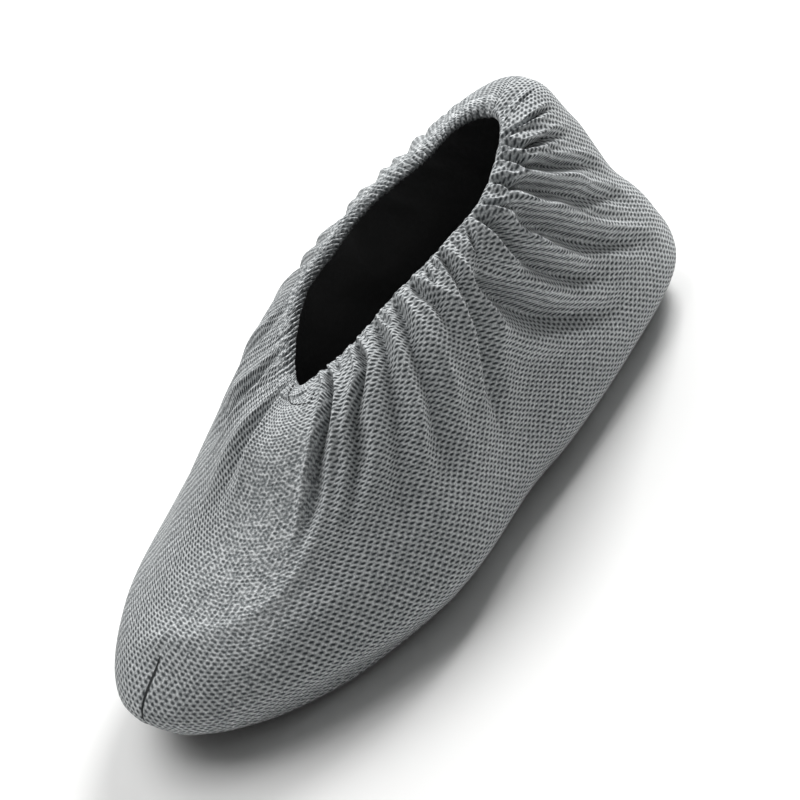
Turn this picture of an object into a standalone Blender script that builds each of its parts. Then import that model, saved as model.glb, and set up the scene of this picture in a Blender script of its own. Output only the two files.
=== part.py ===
"""Mesh shoe cover with a gathered elastic opening and a flat grip sole.

Metres, +Z up. The toe points towards -X and the left side towards -Y. The origin is on
the floor under the middle of the cover. The cover stands in its worn form, empty.

The whole skin is one surface with two coordinates. The turn goes once round the cover:
0 at the heel, 1 at the toe and back to 2, with the left side first. The climb goes from
-1 where the sole leaves the floor, through 0 where the sides turn under, to 1 at the rim.
The sole seam lies a little under the sides, between -1 and 0.
"""

from typing import NamedTuple

import bmesh
import bpy
import numpy as np

# Driving sizes
LENGTH = 0.300
BALL_WIDTH = 0.120
HEEL_HEIGHT = 0.109  # back of the rim above the floor
INSTEP_HEIGHT = 0.076  # front tip of the rim above the floor
UPPER_WALL = 0.0016  # mesh cloth bonded to its lining
SOLE_WALL = 0.0020  # grip cloth with the height of its dots
SEWN_GAP = 0.0003  # clearance where two pieces are sewn edge to edge

# Underside of the sole along the foot
HEEL_FLAT_END = 0.055
BALL_FLAT_START = -0.030
BALL_FLAT_END = -0.088
ARCH_RISE = 0.0025
TOE_SPRING = 0.0075

# Elastic casing along the rim, and the stitched tab where its ends meet
CASING_WIDTH = 0.0080
CASING_SWELL = 0.0009  # how far the casing stands proud of the wall on each face
RUFFLE_COUNT = 38
RUFFLE_HEIGHT = 0.0011
RUFFLE_SWAY = 0.0006
TAB_HALF_TURN = 0.104  # share of a half turn from the toe line to the tab's end
TAB_SWELL = 0.0014
END_GAP_TURN = 0.005

# Mesh density
UPPER_COLUMNS = 112
UNDER_LEVELS = (1.0, 0.5)  # rows of the upper under the sides, in shares of the way down to the seam
UPPER_LEVELS = (0.0, 0.035, 0.07, 0.13, 0.21, 0.31, 0.42, 0.53, 0.64, 0.75, 0.85, 0.93, 1.0)
ROLL_ROWS = 2
SOLE_LANES = 4
COLUMNS_PER_RUFFLE = 4
TAB_COLUMNS = 8
DIFFERENCE_STEP = 0.004  # step for surface normals, in turn and climb
LENGTH_STEPS = 40  # straight steps in which the skin is measured up to the rim
SHARP_ANGLE = np.radians(50.0)

# Where along a ring the heel, waist and ball widths are measured, from heel to toe
HEEL_STATION = 0.16
WAIST_STATION = 0.42
BALL_STATION = 0.70
WAIST_HEIGHT_STATION = 0.45
TOE_TAPER = 0.085

# The opening lies slightly askew: its front leans to the right and its back to the left
BACK_SWAY_END = 0.56
FRONT_SWAY_START = 0.52
FRONT_SWAY_FULL = 0.76

# Colours, linear, and how matt each cloth is
MESH_GREY = (0.17, 0.185, 0.19)
CASING_GREY = (0.15, 0.165, 0.17)
GRIP_BLACK = (0.012, 0.012, 0.013)
MESH_ROUGHNESS = 0.85
CASING_ROUGHNESS = 0.88
GRIP_ROUGHNESS = 0.70


class Ring(NamedTuple):
    """A closed line round the cover, in shares of the driving sizes."""

    heel: float  # of half the length, behind the middle
    toe: float  # of half the length, ahead of the middle
    heel_width: float  # of the ball width
    waist_width: float
    ball_width: float
    heel_rise: float  # of the heel height
    waist_rise: float  # of the heel height
    toe_rise: float  # of the instep height
    heel_power: float  # below 1 gives a fuller, squarer end
    toe_power: float
    sway: float  # of half the ball width, how far the ring lies askew
    on_sole: float  # 1 where the rises are measured from the underside of the sole


RINGS = {
    "tread": Ring(0.893, 0.915, 0.470, 0.515, 0.712, 0.0, 0.0, 0.0, 0.70, 0.78, 0.0, 1.0),
    "seam": Ring(0.925, 0.945, 0.545, 0.590, 0.785, 0.018, 0.021, 0.033, 0.70, 0.80, 0.0, 1.0),
    "turn_under": Ring(0.947, 0.973, 0.583, 0.667, 0.900, 0.037, 0.055, 0.184, 0.70, 0.84, 0.0, 0.0),
    "bulge": Ring(0.995, 1.000, 0.700, 0.767, 1.000, 0.110, 0.128, 0.289, 0.70, 0.88, 0.0, 0.0),
    "wall": Ring(0.960, 0.905, 0.700, 0.717, 0.967, 0.322, 0.330, 0.460, 0.72, 0.65, 0.0, 0.0),
    "shoulder": Ring(0.868, 0.780, 0.600, 0.667, 0.830, 0.540, 0.523, 0.579, 0.76, 0.68, 0.0, 0.0),
    "crown": Ring(0.785, 0.580, 0.545, 0.600, 0.717, 0.820, 0.760, 0.776, 0.82, 0.84, 0.0, 0.0),
    "gather": Ring(0.687, 0.440, 0.465, 0.533, 0.575, 1.035, 0.890, 0.970, 0.88, 0.96, 0.025, 0.0),
    "collar": Ring(0.553, 0.243, 0.280, 0.345, 0.320, 1.000, 0.936, 1.000, 0.95, 1.03, 0.080, 0.0),
}
UNDER_RING = list(RINGS).index("turn_under")


class Fold(NamedTuple):
    """A valley that runs down from the rim, with turns measured on its own side."""

    side: int  # -1 left, 1 right
    rim: float  # turn at the rim
    middle: float  # turn halfway down the valley
    foot: float  # turn where the valley fades out
    reach: float  # climb where the valley fades out
    depth: float
    width: float  # turn from the valley's line to its shoulder


FOLDS = (
    Fold(-1, 0.17, 0.20, 0.14, 0.72, 0.0015, 0.022),
    Fold(-1, 0.28, 0.29, 0.20, 0.62, 0.0018, 0.022),
    Fold(-1, 0.35, 0.30, 0.21, 0.42, 0.0022, 0.022),
    Fold(-1, 0.40, 0.33, 0.24, 0.33, 0.0022, 0.022),
    Fold(-1, 0.43, 0.40, 0.31, 0.40, 0.0024, 0.022),
    Fold(-1, 0.50, 0.46, 0.34, 0.28, 0.0038, 0.030),
    Fold(-1, 0.59, 0.57, 0.55, 0.62, 0.0020, 0.022),
    Fold(-1, 0.69, 0.67, 0.63, 0.50, 0.0018, 0.024),
    Fold(-1, 0.76, 0.74, 0.73, 0.50, 0.0025, 0.022),
    Fold(-1, 0.85, 0.815, 0.82, 0.42, 0.0030, 0.024),
    Fold(1, 0.15, 0.18, 0.13, 0.72, 0.0015, 0.022),
    Fold(1, 0.25, 0.26, 0.19, 0.60, 0.0020, 0.024),
    Fold(1, 0.33, 0.30, 0.22, 0.45, 0.0022, 0.024),
    Fold(1, 0.41, 0.37, 0.29, 0.35, 0.0026, 0.026),
    Fold(1, 0.49, 0.46, 0.38, 0.32, 0.0032, 0.028),
    Fold(1, 0.57, 0.55, 0.52, 0.50, 0.0024, 0.024),
    Fold(1, 0.67, 0.68, 0.66, 0.48, 0.0024, 0.028),
    Fold(1, 0.80, 0.79, 0.76, 0.55, 0.0024, 0.026),
    Fold(1, 0.93, 0.94, 0.93, 0.62, 0.0022, 0.026),
)
FOLD_RISE = 0.6  # share of a fold over which it deepens from its foot
FOLD_CALM_START = 0.86  # climb from which the casing flattens the folds
FOLD_CALM_END = 0.95  # climb from which they stay flattened
FOLD_CALM = 0.75  # share of the depth that is lost there


def ease(share):
    """Smooth step from 0 to 1."""
    held = np.clip(share, 0.0, 1.0)
    return held * held * (3.0 - 2.0 * held)


def through_three(at, places, values):
    """The parabola through three values, read at the given places."""
    (p0, p1, p2), (v0, v1, v2) = places, values
    return (
        v0 * (at - p1) * (at - p2) / ((p0 - p1) * (p0 - p2))
        + v1 * (at - p0) * (at - p2) / ((p1 - p0) * (p1 - p2))
        + v2 * (at - p0) * (at - p1) / ((p2 - p0) * (p2 - p1))
    )


def sole_height(x):
    """Underside of the sole: flat under heel and ball, lifted at the arch and the toe."""
    along_arch = np.clip((HEEL_FLAT_END - x) / (HEEL_FLAT_END - BALL_FLAT_START), 0.0, 1.0)
    arch = ARCH_RISE * np.sin(np.pi * along_arch) ** 2
    toe_end = -LENGTH / 2 * RINGS["tread"].toe
    spring = TOE_SPRING * np.clip((BALL_FLAT_END - x) / (BALL_FLAT_END - toe_end), 0.0, 1.0) ** 2
    return arch + spring


def ring_points(ring, turn):
    """Points of one ring at the given turns."""
    along = (1.0 - np.cos(np.pi * turn)) / 2.0
    side = np.where(np.mod(turn, 2.0) <= 1.0, -1.0, 1.0)
    to_toe = ease((along - BALL_STATION) / (1.0 - BALL_STATION))
    width = (
        ring.heel_width
        + (ring.waist_width - ring.heel_width)
        * ease((along - HEEL_STATION) / (WAIST_STATION - HEEL_STATION))
        + (ring.ball_width - ring.waist_width)
        * ease((along - WAIST_STATION) / (BALL_STATION - WAIST_STATION))
        - TOE_TAPER * ring.ball_width * to_toe
    )
    power = ring.heel_power + (ring.toe_power - ring.heel_power) * to_toe
    to_front = ease((along - FRONT_SWAY_START) / (FRONT_SWAY_FULL - FRONT_SWAY_START))
    to_back = np.sin(np.pi * np.clip(along / BACK_SWAY_END, 0.0, 1.0)) ** 2
    x = LENGTH / 2 * (ring.heel - (ring.heel + ring.toe) * along)
    y = side * width * np.abs(np.sin(np.pi * turn)) ** power + ring.sway * (to_front - to_back)
    z = through_three(
        along,
        (0.0, WAIST_HEIGHT_STATION, 1.0),
        (HEEL_HEIGHT * ring.heel_rise, HEEL_HEIGHT * ring.waist_rise, INSTEP_HEIGHT * ring.toe_rise),
    )
    return np.stack([x, BALL_WIDTH / 2 * y, z + ring.on_sole * sole_height(x)], axis=-1)


def smooth_skin(turn, climb):
    """The stretched skin without folds: a smooth line through the rings at each turn."""
    rings = np.array([ring_points(ring, turn) for ring in RINGS.values()])
    steps = np.linalg.norm(np.diff(rings, axis=0), axis=-1)
    knots = np.concatenate([np.zeros((1,) + turn.shape), np.cumsum(steps, axis=0)])
    slopes = np.diff(rings, axis=0) / steps[..., None]
    lean = (steps[1:] / (steps[1:] + steps[:-1]))[..., None]
    tangents = np.empty_like(rings)
    tangents[1:-1] = slopes[:-1] * lean + slopes[1:] * (1.0 - lean)
    tangents[0] = 2.0 * slopes[0] - tangents[1]
    tangents[-1] = 2.0 * slopes[-1] - tangents[-2]
    under, rim = knots[UNDER_RING], knots[-1]
    reached = np.where(climb < 0.0, under * (1.0 + climb), under + climb * (rim - under))
    span = np.clip((knots <= reached).sum(axis=0) - 1, 0, len(rings) - 2)

    here = (span, *np.indices(span.shape))
    above = (span + 1, *np.indices(span.shape))
    step = steps[here][..., None]
    share = (reached - knots[here])[..., None] / step
    return (
        (2 * share**3 - 3 * share**2 + 1) * rings[here]
        + (share**3 - 2 * share**2 + share) * step * tangents[here]
        + (3 * share**2 - 2 * share**3) * rings[above]
        + (share**3 - share**2) * step * tangents[above]
    )


def fold_depth(turn, climb):
    """How far the gathers push the skin out (positive) or in (negative)."""
    around = np.mod(turn, 2.0)
    push = np.zeros(np.broadcast(turn, climb).shape)
    for fold in FOLDS:
        halfway = (1.0 + fold.reach) / 2.0
        line = through_three(climb, (1.0, halfway, fold.reach), (fold.rim, fold.middle, fold.foot))
        own_turn = around if fold.side < 0 else 2.0 - around
        across = (own_turn - line) / fold.width
        valley = -(1.0 - across**2 / 2.0) * np.exp(-(across**2) / 2.0)
        fade = ease((climb - fold.reach) / (FOLD_RISE * (1.0 - fold.reach)))
        calm = 1.0 - FOLD_CALM * ease((climb - FOLD_CALM_START) / (FOLD_CALM_END - FOLD_CALM_START))
        push += fold.depth * valley * fade * calm
    return push


def normals(surface, turn, climb):
    """Outward normals of a surface, from small differences of its two coordinates."""
    step = DIFFERENCE_STEP
    up = surface(turn, climb + step) - surface(turn, climb - step)
    onward = surface(turn + step, climb) - surface(turn - step, climb)
    out = np.cross(up, onward)
    return out / np.linalg.norm(out, axis=-1, keepdims=True)


def skin(turn, climb):
    """The outer face of the cover, gathers included."""
    smooth = smooth_skin(turn, climb)
    return smooth + fold_depth(turn, climb)[..., None] * normals(smooth_skin, turn, climb)


def layer(turn, climb, height):
    """Points at a height over the outer face; a negative height lies inside."""
    return skin(turn, climb) + np.asarray(height)[..., None] * normals(skin, turn, climb)


def low_lengths(turn):
    """Distance from the floor line to the seam, and on to where the sides turn under."""
    low = np.array([ring_points(RINGS[name], turn) for name in ("tread", "seam", "turn_under")])
    return np.linalg.norm(np.diff(low, axis=0), axis=-1)


def climb_length(turn):
    """Length of the skin from climb 0 to the rim at each turn, summed over short steps."""
    climbs = np.linspace(0.0, 1.0, LENGTH_STEPS + 1)
    line = np.array([smooth_skin(turn, np.full(turn.shape, climb)) for climb in climbs])
    return np.linalg.norm(np.diff(line, axis=0), axis=-1).sum(axis=0)


def band_faces(rows, columns, first, closed):
    """Quads of a grid of points, row by row; a closed grid joins its last column to its first."""
    faces = []
    for row in range(rows - 1):
        for column in range(columns if closed else columns - 1):
            after = (column + 1) % columns
            low, high = first + row * columns, first + (row + 1) * columns
            faces.append((low + column, high + column, high + after, low + after))
    return faces


def shell_mesh(outer, inner):
    """A closed band with a wall: two closed grids, joined along both of their edges."""
    rows, columns = outer.shape[:2]
    size = rows * columns
    faces = band_faces(rows, columns, 0, True)
    faces += [face[::-1] for face in band_faces(rows, columns, size, True)]
    for column in range(columns):
        after = (column + 1) % columns
        top = size - columns
        faces.append((column, after, size + after, size + column))
        faces.append((top + after, top + column, size + top + column, size + top + after))
    return np.concatenate([outer.reshape(-1, 3), inner.reshape(-1, 3)]), faces


def upper_mesh():
    """The gathered upper: open underneath at the seam and at the top where the casing starts."""
    turn = np.arange(UPPER_COLUMNS) * 2.0 / UPPER_COLUMNS
    roll, under = low_lengths(turn)
    start = (SEWN_GAP - under) / (roll + under)
    end = 1.0 - (CASING_WIDTH + SEWN_GAP) / climb_length(turn)
    low_rows = np.array(UNDER_LEVELS)[:, None] * start
    climb = np.concatenate([low_rows, np.array(UPPER_LEVELS)[:, None] * end])
    turns = np.broadcast_to(turn, climb.shape)
    outer = layer(turns, climb, np.zeros(climb.shape))
    inner = layer(turns, climb, np.full(climb.shape, -UPPER_WALL))
    return shell_mesh(outer, inner)


def sole_face(height):
    """One face of the sole: the rolled edge from the seam to the floor, then lanes across."""
    turn = np.arange(UPPER_COLUMNS) * 2.0 / UPPER_COLUMNS
    roll, under = low_lengths(turn)
    share = np.linspace(0.0, 1.0, ROLL_ROWS + 1)[:, None]
    climb = -(under + share * roll) / (roll + under)
    turns = np.broadcast_to(turn, climb.shape)
    rolled = layer(turns, climb, np.full(climb.shape, height))
    half = UPPER_COLUMNS // 2
    edge = rolled[-1]
    lanes = []
    for station in range(1, half):
        left, right = edge[station], edge[-station]
        for lane in range(1, SOLE_LANES):
            lanes.append(left + (right - left) * lane / SOLE_LANES)
    lanes = np.array(lanes)
    lanes[:, 2] = sole_height(lanes[:, 0]) - height
    return np.concatenate([rolled.reshape(-1, 3), lanes])


def sole_face_quads(first):
    """Faces of sole_face, looking outwards: the rolled rows, then the lanes from heel to toe."""
    columns, half = UPPER_COLUMNS, UPPER_COLUMNS // 2
    faces = [face[::-1] for face in band_faces(ROLL_ROWS + 1, columns, first, True)]
    edge = first + ROLL_ROWS * columns
    lanes = first + (ROLL_ROWS + 1) * columns

    def across(station):
        """Vertex numbers across the sole at a station, left edge to right edge."""
        if station in (0, half):
            return [edge + station] * (SOLE_LANES + 1)
        row = lanes + (station - 1) * (SOLE_LANES - 1)
        return [edge + station, *range(row, row + SOLE_LANES - 1), edge + columns - station]

    for station in range(half):
        here, ahead = across(station), across(station + 1)
        for lane in range(SOLE_LANES):
            corners = (here[lane], ahead[lane], ahead[lane + 1], here[lane + 1])
            faces.append(tuple(dict.fromkeys(corners)))
    return faces


def sole_mesh():
    """The grip sole: a thin dished panel that the upper is sewn to along its edge."""
    outer, inner = sole_face(0.0), sole_face(-SOLE_WALL)
    size = len(outer)
    faces = sole_face_quads(0)
    faces += [face[::-1] for face in sole_face_quads(size)]
    for column in range(UPPER_COLUMNS):
        after = (column + 1) % UPPER_COLUMNS
        faces.append((column, size + column, size + after, after))
    return np.concatenate([outer, inner]), faces


def band_section(swell):
    """Cross-section of a band on the rim: distance from the rim, and height over the skin."""
    top, bottom = swell, -UPPER_WALL - CASING_SWELL
    cut = CASING_SWELL
    return np.array(
        [
            (cut, top),
            (CASING_WIDTH - cut, top),
            (CASING_WIDTH, top - swell),
            (CASING_WIDTH, bottom + cut),
            (CASING_WIDTH - cut, bottom),
            (cut, bottom),
            (0.0, bottom + cut),
            (0.0, top - cut),
        ]
    )


def rim_band_mesh(turn, section, ruffle):
    """A band swept along the rim between two end faces, crimped by the ruffle wave."""
    length = climb_length(turn)
    from_rim, height = section[:, 0:1], section[:, 1:2]
    near_rim = 1.0 - from_rim / CASING_WIDTH
    crimp = near_rim * RUFFLE_HEIGHT * np.sin(ruffle)
    sway = near_rim * RUFFLE_SWAY * np.cos(ruffle)
    climb = 1.0 - (from_rim + sway) / length
    turns = np.broadcast_to(turn, climb.shape)
    points = layer(turns, climb, height + crimp)
    count, columns = points.shape[:2]
    faces = []
    for corner in range(count):
        after = (corner + 1) % count
        for column in range(columns - 1):
            low, high = corner * columns + column, after * columns + column
            faces.append((low, low + 1, high + 1, high))
    faces.append(tuple(corner * columns for corner in range(count)))
    faces.append(tuple(corner * columns + columns - 1 for corner in reversed(range(count))))
    return points.reshape(-1, 3), faces


def casing_mesh():
    """The ruched casing that holds the elastic, from one side of the tab to the other."""
    start = 1.0 + TAB_HALF_TURN + END_GAP_TURN
    end = 3.0 - TAB_HALF_TURN - END_GAP_TURN
    turn = np.linspace(start, end, RUFFLE_COUNT * COLUMNS_PER_RUFFLE + 1)
    ruffle = np.linspace(0.0, 2.0 * np.pi * RUFFLE_COUNT, len(turn))
    return rim_band_mesh(turn, band_section(CASING_SWELL), ruffle)


def tab_mesh():
    """The flat stitched tab at the front, where the elastic's ends meet."""
    turn = np.linspace(1.0 - TAB_HALF_TURN, 1.0 + TAB_HALF_TURN, TAB_COLUMNS + 1)
    return rim_band_mesh(turn, band_section(TAB_SWELL), np.zeros(len(turn)))


def cloth(name, colour, roughness):
    """A plain matt material."""
    material = bpy.data.materials.new(name)
    material.use_nodes = True
    shader = material.node_tree.nodes["Principled BSDF"]
    shader.inputs["Base Color"].default_value = (*colour, 1.0)
    shader.inputs["Roughness"].default_value = roughness
    shader.inputs["Metallic"].default_value = 0.0
    return material


def add_piece(name, points, faces, material, parent):
    """Adds one closed solid to the scene, with its faces turned outwards."""
    mesh = bpy.data.meshes.new(name)
    mesh.from_pydata([tuple(point) for point in points], [], faces)
    shape = bmesh.new()
    shape.from_mesh(mesh)
    bmesh.ops.recalc_face_normals(shape, faces=shape.faces)
    shape.to_mesh(mesh)
    shape.free()
    mesh.shade_smooth()
    mesh.set_sharp_from_angle(angle=SHARP_ANGLE)
    mesh.materials.append(material)
    piece = bpy.data.objects.new(name, mesh)
    piece.parent = parent
    bpy.context.scene.collection.objects.link(piece)
    return piece


def main():
    for old in list(bpy.data.objects):
        bpy.data.objects.remove(old)
    cover = bpy.data.objects.new("shoe_cover", None)
    bpy.context.scene.collection.objects.link(cover)
    add_piece("sole", *sole_mesh(), cloth("black_grip_cloth", GRIP_BLACK, GRIP_ROUGHNESS), cover)
    add_piece("upper", *upper_mesh(), cloth("grey_mesh_cloth", MESH_GREY, MESH_ROUGHNESS), cover)
    casing = cloth("grey_casing_cloth", CASING_GREY, CASING_ROUGHNESS)
    add_piece("elastic_casing", *casing_mesh(), casing, cover)
    tab = cloth("grey_tab_cloth", CASING_GREY, CASING_ROUGHNESS)
    add_piece("casing_tab", *tab_mesh(), tab, cover)


main()
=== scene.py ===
import bpy
import numpy as np
from mathutils import Matrix


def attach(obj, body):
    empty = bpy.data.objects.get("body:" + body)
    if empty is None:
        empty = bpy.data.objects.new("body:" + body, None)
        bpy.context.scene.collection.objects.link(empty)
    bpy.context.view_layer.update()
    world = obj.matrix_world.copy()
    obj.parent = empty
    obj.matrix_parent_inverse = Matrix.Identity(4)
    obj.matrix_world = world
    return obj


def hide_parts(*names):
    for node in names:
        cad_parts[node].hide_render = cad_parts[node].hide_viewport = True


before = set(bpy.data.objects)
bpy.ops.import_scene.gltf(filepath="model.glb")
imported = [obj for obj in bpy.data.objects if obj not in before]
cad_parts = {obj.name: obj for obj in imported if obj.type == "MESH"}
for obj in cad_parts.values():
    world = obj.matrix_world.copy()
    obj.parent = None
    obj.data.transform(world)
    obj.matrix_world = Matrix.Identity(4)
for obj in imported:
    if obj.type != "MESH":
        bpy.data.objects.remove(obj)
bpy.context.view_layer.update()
print("frame loaded:", sorted(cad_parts))

# The cover's skin has two coordinates. turn: 0 heel, 1 toe, 2 heel again, left side first.
# climb: -1 where the sole leaves the floor, 0 where the sides turn under, 1 rim of the opening. The
# sole seam lies a little under the sides, between -1 and 0.
form = {
    "length": 0.3, "ballWidth": 0.12, "heelHeight": 0.109, "instepHeight": 0.076,
    "heelStation": 0.16, "waistStation": 0.42, "ballStation": 0.7, "riseStation": 0.45,
    "toeTaper": 0.085,
    "heelFlatEnd": 0.055, "ballFlatStart": -0.03, "ballFlatEnd": -0.088,
    "archRise": 0.0025, "toeSpring": 0.0075,
    "backSwayEnd": 0.56, "frontSwayStart": 0.52, "frontSwayFull": 0.76,  # the opening lies slightly askew
    # heel, toe, heelWidth, waistWidth, ballWidth, heelRise, waistRise, toeRise, heelPower, toePower, sway,
    # onSole
    "rings": (
        (0.893, 0.915, 0.470, 0.515, 0.712, 0.000, 0.000, 0.000, 0.70, 0.78, 0.000, 1.0),
        (0.925, 0.945, 0.545, 0.590, 0.785, 0.018, 0.021, 0.033, 0.70, 0.80, 0.000, 1.0),
        (0.947, 0.973, 0.583, 0.667, 0.900, 0.037, 0.055, 0.184, 0.70, 0.84, 0.000, 0.0),
        (0.995, 1.000, 0.700, 0.767, 1.000, 0.110, 0.128, 0.289, 0.70, 0.88, 0.000, 0.0),
        (0.960, 0.905, 0.700, 0.717, 0.967, 0.322, 0.330, 0.460, 0.72, 0.65, 0.000, 0.0),
        (0.868, 0.780, 0.600, 0.667, 0.830, 0.540, 0.523, 0.579, 0.76, 0.68, 0.000, 0.0),
        (0.785, 0.580, 0.545, 0.600, 0.717, 0.820, 0.760, 0.776, 0.82, 0.84, 0.000, 0.0),
        (0.687, 0.440, 0.465, 0.533, 0.575, 1.035, 0.890, 0.970, 0.88, 0.96, 0.025, 0.0),
        (0.553, 0.243, 0.280, 0.345, 0.320, 1.000, 0.936, 1.000, 0.95, 1.34, 0.080, 0.0),
    ),
    "underRing": 2, "bulgeRing": 3, "rimRing": 8,
    "normalStep": 0.004, "lengthSteps": 40, "arcSteps": 8000,
}


def ease(share):  # 3s^2 - 2s^3, held between 0 and 1
    held = np.clip(share, 0.0, 1.0)
    return held * held * (3.0 - 2.0 * held)


def throughThree(at, places, values):  # the parabola through three values
    (p0, p1, p2), (v0, v1, v2) = places, values
    return (v0 * (at - p1) * (at - p2) / ((p0 - p1) * (p0 - p2))
            + v1 * (at - p0) * (at - p2) / ((p1 - p0) * (p1 - p2))
            + v2 * (at - p0) * (at - p1) / ((p2 - p0) * (p2 - p1)))


def soleHeight(x):  # sin squared over the arch, a square law up from the ball to the toe
    span = form["heelFlatEnd"] - form["ballFlatStart"]
    arch = form["archRise"] * np.sin(np.pi * np.clip((form["heelFlatEnd"] - x) / span, 0, 1)) ** 2
    toeEnd = -form["length"] / 2 * form["rings"][0][1]
    rise = np.clip((form["ballFlatEnd"] - x) / (form["ballFlatEnd"] - toeEnd), 0, 1)
    return arch + form["toeSpring"] * rise ** 2


# x runs with (1 - cos pi turn) / 2, y is the width times |sin pi turn| to a power, z a parabola, which
# the two lowest rings add to the sole's height
def ringLines(turn):
    columns = np.array(form["rings"]).T[:, :, None]
    heel, toe, heelWidth, waistWidth, ballWidth, heelRise, waistRise, toeRise = columns[:8]
    heelPower, toePower, sway, onSole = columns[8:]
    along = (1.0 - np.cos(np.pi * turn)) / 2.0
    side = np.where(np.mod(turn, 2.0) <= 1.0, -1.0, 1.0)
    toWaist = ease((along - form["heelStation"]) / (form["waistStation"] - form["heelStation"]))
    toBall = ease((along - form["waistStation"]) / (form["ballStation"] - form["waistStation"]))
    toToe = ease((along - form["ballStation"]) / (1.0 - form["ballStation"]))
    width = (heelWidth + (waistWidth - heelWidth) * toWaist + (ballWidth - waistWidth) * toBall
             - form["toeTaper"] * ballWidth * toToe)
    power = heelPower + (toePower - heelPower) * toToe
    x = form["length"] / 2 * (heel - (heel + toe) * along)
    toFront = ease((along - form["frontSwayStart"]) / (form["frontSwayFull"] - form["frontSwayStart"]))
    toBack = np.sin(np.pi * np.clip(along / form["backSwayEnd"], 0, 1)) ** 2
    y = side * width * np.abs(np.sin(np.pi * turn)) ** power + sway * (toFront - toBack)
    y = form["ballWidth"] / 2 * y
    rises = (form["heelHeight"] * heelRise, form["heelHeight"] * waistRise, form["instepHeight"] * toeRise)
    z = throughThree(along, (0.0, form["riseStation"], 1.0), rises) + onSole * soleHeight(x)
    return np.stack([x, y, z], axis=-1)


# cubic Hermite line through the rings at each turn, with the distance between rings as its parameter
def smoothSkin(turn, climb):
    rings = ringLines(turn)
    steps = np.linalg.norm(np.diff(rings, axis=0), axis=-1)
    knots = np.concatenate([np.zeros((1, len(turn))), np.cumsum(steps, axis=0)])
    slopes = np.diff(rings, axis=0) / steps[..., None]
    lean = (steps[1:] / (steps[1:] + steps[:-1]))[..., None]
    tangents = np.empty_like(rings)
    tangents[1:-1] = slopes[:-1] * lean + slopes[1:] * (1.0 - lean)
    tangents[0] = 2.0 * slopes[0] - tangents[1]
    tangents[-1] = 2.0 * slopes[-1] - tangents[-2]
    under, rim = knots[form["underRing"]], knots[-1]
    reached = np.where(climb < 0.0, under * (1.0 + climb), under + climb * (rim - under))
    span = np.clip((knots[:, None] <= reached).sum(axis=0) - 1, 0, len(rings) - 2)
    column = np.arange(len(turn))
    step = steps[span, column][..., None]
    share = (reached - knots[span, column])[..., None] / step
    return ((2 * share**3 - 3 * share**2 + 1) * rings[span, column]
            + (share**3 - 2 * share**2 + share) * step * tangents[span, column]
            + (3 * share**2 - 2 * share**3) * rings[span + 1, column]
            + (share**3 - share**2) * step * tangents[span + 1, column])


def smoothNormals(turn, climb):  # cross product of the steps up and onward, of length one
    step = form["normalStep"]
    up = smoothSkin(turn, climb + step) - smoothSkin(turn, climb - step)
    onward = smoothSkin(turn + step, climb) - smoothSkin(turn - step, climb)
    out = np.cross(up, onward)
    return out / np.linalg.norm(out, axis=-1, keepdims=True)


def seamClimb(turn):  # the seam's place between the floor line and the line where the sides turn under
    roll, under = np.linalg.norm(np.diff(ringLines(turn)[:form["underRing"] + 1], axis=0), axis=-1)
    return -under / (roll + under)


def climbLength(turn):  # straight steps up to the rim from where the sides turn under, at each turn
    levels = np.linspace(0.0, 1.0, form["lengthSteps"] + 1)[:, None] + np.zeros_like(turn)
    return np.linalg.norm(np.diff(smoothSkin(turn, levels), axis=0), axis=-1).sum(axis=0)


# distance along a ring from the heel, as two tables that np.interp reads both ways
arcTurns = np.linspace(0.0, 2.0, form["arcSteps"] + 1)
arcRings = ringLines(arcTurns)
arcSteps = np.linalg.norm(np.diff(arcRings, axis=1), axis=-1)
arcLengths = np.concatenate([np.zeros((len(arcRings), 1)), np.cumsum(arcSteps, axis=1)], axis=1)
bulgeArc, rimArc = arcLengths[form["bulgeRing"]], arcLengths[form["rimRing"]]
toeArc = np.interp(1.0, arcTurns, bulgeArc)
print("skin ready, rim %.0f mm round" % (1000 * rimArc[-1]))

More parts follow.
